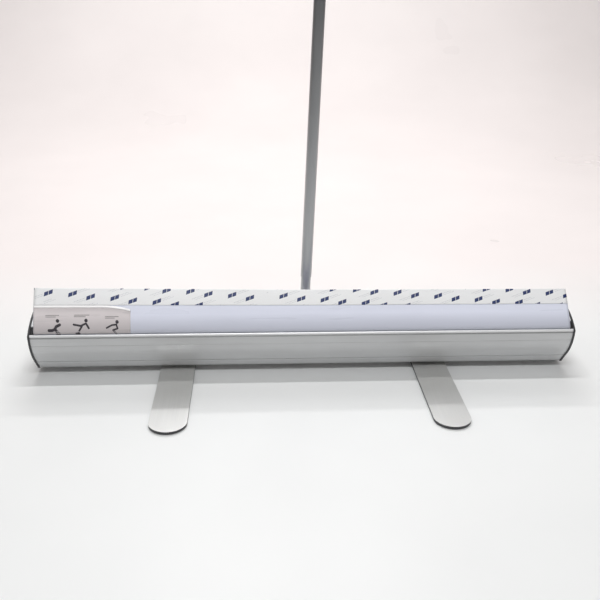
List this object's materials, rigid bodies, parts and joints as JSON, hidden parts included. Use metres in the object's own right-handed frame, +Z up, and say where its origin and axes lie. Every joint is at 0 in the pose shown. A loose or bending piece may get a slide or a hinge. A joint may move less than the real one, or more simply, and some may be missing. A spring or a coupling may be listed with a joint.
{
  "type": "roll-up banner stand",
  "caption": "Spring-roller banner base with a leader film in its slot, swing-out feet, a telescopic rear pole and a hooked snap rail.",
  "frame": {"origin": "middle of the footprint on the floor, halfway between the end caps and between the front and rear tips of the feet", "axes": "+X along the base to the right, +Y from the front to the rear, +Z up"},
  "size_m": [0.872, 0.3, 0.862],
  "materials": {
    "anodised_aluminium": "satin anodised extrusion with fine drawing lines",
    "rail_aluminium": "satin anodised",
    "roller_aluminium": "mill finish",
    "foot_metal": "satin plate with soft reflections",
    "cap_plastic": "fine moulded grain",
    "inner_plastic": "moulded",
    "pole_plastic": "moulded grip",
    "washer_nylon": "smooth nylon",
    "rubber": "soft",
    "steel": "zinc plated",
    "spring_steel": "oiled spring wire",
    "pole_aluminium": "satin drawn tube",
    "leader_film": "milky translucent film",
    "tape_adhesive": "clear acrylic adhesive",
    "tape_liner": null,
    "label_film": "translucent printed film"
  },
  "bodies": {
    "base": {"housing": "anodised_aluminium", "end_cap_left": "cap_plastic", "end_cap_right": "cap_plastic", "cap_core_left": "inner_plastic", "cap_core_right": "inner_plastic", "cap_screws_left": "steel", "cap_screws_right": "steel", "slot_trim": "rubber", "roller_axle": "steel", "spring_shaft": "steel", "spring_anchor": "inner_plastic", "torsion_spring": "spring_steel", "foot_bolts": "steel", "foot_washers": "washer_nylon", "foot_nuts": "steel", "pole_socket": "pole_plastic"},
    "roller": {"roller_tube": "roller_aluminium", "roller_plug_left": "inner_plastic", "roller_plug_right": "inner_plastic", "leader_wrap": "leader_film"},
    "leader": {"leader_film": "leader_film", "leader_tape": "tape_adhesive", "tape_liner": "tape_liner", "instruction_label": "label_film"},
    "foot_left": {"foot_left": "foot_metal", "foot_pads_left": "rubber"},
    "foot_right": {"foot_right": "foot_metal", "foot_pads_right": "rubber"},
    "pole_lower": {"pole_plug": "pole_aluminium", "pole_lower_tube": "pole_aluminium"},
    "lower_collar": {"lower_collar": "pole_plastic"},
    "pole_mid": {"mid_guide": "inner_plastic", "pole_mid_tube": "pole_aluminium"},
    "mid_collar": {"mid_collar": "pole_plastic"},
    "pole_top": {"top_guide": "inner_plastic", "pole_top_tube": "pole_aluminium", "pole_top_hook": "pole_plastic"},
    "rail": {"rail_back": "rail_aluminium", "rail_grip": "rubber", "rail_end_caps": "pole_plastic", "rail_screws": "steel"},
    "rail_jaw": {"rail_jaw": "rail_aluminium"}
  },
  "joints": [
    {"name": "foot_left_swing", "type": "hinge", "parent": "base", "child": "foot_left", "pos_m": [-0.209, 0.076, 0.003], "axis": [0, 0, 1], "range_deg": [-90, 0]},
    {"name": "foot_right_swing", "type": "hinge", "parent": "base", "child": "foot_right", "pos_m": [0.209, 0.076, 0.003], "axis": [0, 0, 1], "range_deg": [0, 90]},
    {"name": "roller_spin", "type": "hinge", "parent": "base", "child": "roller", "pos_m": [0, 0.064, 0.056], "axis": [1, 0, 0], "range_deg": [0, 90]},
    {"name": "leader_retract", "type": "slide", "parent": "base", "child": "leader", "axis": [0, -0.4848, -0.8746], "range_m": [0, 0.031], "deforming": ["leader_film", "instruction_label"]},
    {"name": "pole_lift", "type": "slide", "parent": "base", "child": "pole_lower", "axis": [0.0314, 0, 0.9995], "range_m": [0, 0.08]},
    {"name": "lower_collar_twist", "type": "hinge", "parent": "pole_lower", "child": "lower_collar", "pos_m": [0.02369, 0.106, 0.76864], "axis": [0.0314, 0, 0.9995], "range_deg": [0, 90]},
    {"name": "mid_tube_extend", "type": "slide", "parent": "pole_lower", "child": "pole_mid", "axis": [0.0314, 0, 0.9995], "range_m": [0, 0.55]},
    {"name": "mid_collar_twist", "type": "hinge", "parent": "pole_mid", "child": "mid_collar", "pos_m": [0.02463, 0.106, 0.79862], "axis": [0.0314, 0, 0.9995], "range_deg": [0, 90]},
    {"name": "top_tube_extend", "type": "slide", "parent": "pole_mid", "child": "pole_top", "axis": [0.0314, 0, 0.9995], "range_m": [0, 0.55]},
    {"name": "rail_lift", "type": "slide", "parent": "pole_top", "child": "rail", "axis": [0, 0, 1], "range_m": [0, 0.04]},
    {"name": "rail_jaw_open", "type": "hinge", "parent": "rail", "child": "rail_jaw", "pos_m": [0, 0.0852, 0.857], "axis": [-1, 0, 0], "range_deg": [0, 70]}
  ],
  "couplings": [
    {"joint": "leader_retract", "follows": "roller_spin", "m_per_rad": 0.0191}
  ]
}
